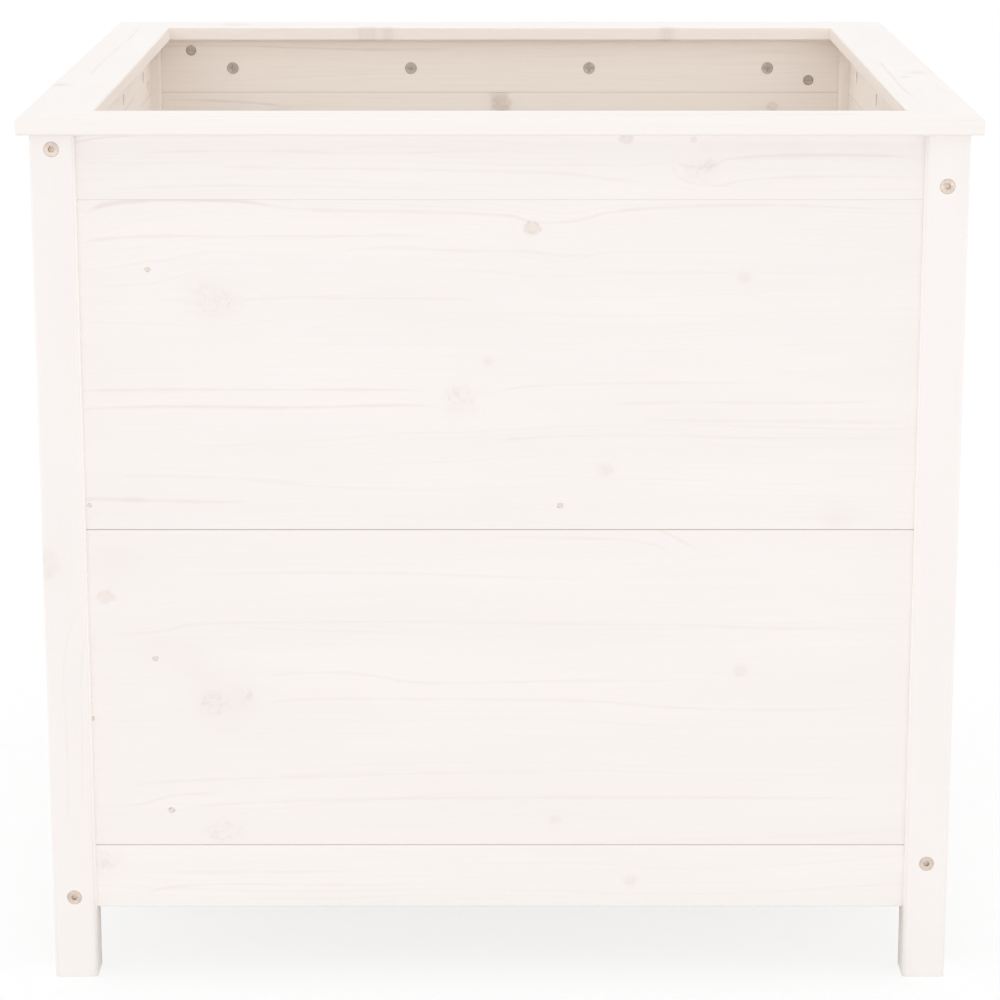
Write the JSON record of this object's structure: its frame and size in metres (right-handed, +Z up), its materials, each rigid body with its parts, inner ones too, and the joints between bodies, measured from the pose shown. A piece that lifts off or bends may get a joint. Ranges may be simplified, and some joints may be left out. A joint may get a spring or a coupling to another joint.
{
  "type": "planter box",
  "caption": "Square wooden planter: corner posts, recessed board walls, a slatted floor and a flat mitred rim.",
  "frame": {"origin": "middle of the footprint on the ground", "axes": "+Z up, -Y towards the front, +X to the right as seen from the front"},
  "size_m": [0.825, 0.825, 0.78],
  "materials": {
    "whitewashed_pine": "matt white wash",
    "bare_pine": "planed, thin white wash",
    "beech": "fluted, raw",
    "nickel_steel": "matt nickel",
    "dark_zinc": "dull zinc die casting",
    "zinc_steel": "zinc plated"
  },
  "bodies": {
    "root": {"post_front_left": "whitewashed_pine", "post_front_right": "whitewashed_pine", "post_back_right": "whitewashed_pine", "post_back_left": "whitewashed_pine", "top_rail_front": "whitewashed_pine", "top_rail_right": "whitewashed_pine", "top_rail_back": "whitewashed_pine", "top_rail_left": "whitewashed_pine", "upper_panel_front": "whitewashed_pine", "upper_panel_right": "whitewashed_pine", "upper_panel_back": "whitewashed_pine", "upper_panel_left": "whitewashed_pine", "lower_panel_front": "whitewashed_pine", "lower_panel_right": "whitewashed_pine", "lower_panel_back": "whitewashed_pine", "lower_panel_left": "whitewashed_pine", "bottom_rail_front": "whitewashed_pine", "bottom_rail_right": "whitewashed_pine", "bottom_rail_back": "whitewashed_pine", "bottom_rail_left": "whitewashed_pine", "rim_board_front": "whitewashed_pine", "rim_board_right": "whitewashed_pine", "rim_board_back": "whitewashed_pine", "rim_board_left": "whitewashed_pine", "floor_board_1": "bare_pine", "floor_board_2": "bare_pine", "floor_board_3": "bare_pine", "floor_board_4": "bare_pine", "floor_board_5": "bare_pine", "floor_board_6": "bare_pine", "floor_board_7": "bare_pine", "floor_batten_left": "bare_pine", "floor_batten_right": "bare_pine", "floor_bearer": "bare_pine", "bearer_cleat_front": "bare_pine", "bearer_cleat_back": "bare_pine", "corner_bolts": "nickel_steel", "barrel_nuts": "dark_zinc", "rim_cams": "dark_zinc", "rim_pins": "zinc_steel", "batten_screws": "zinc_steel", "cleat_screws": "zinc_steel", "floor_screws": "zinc_steel", "wall_dowels": "beech", "mitre_dowels": "beech"}
  },
  "joints": []
}
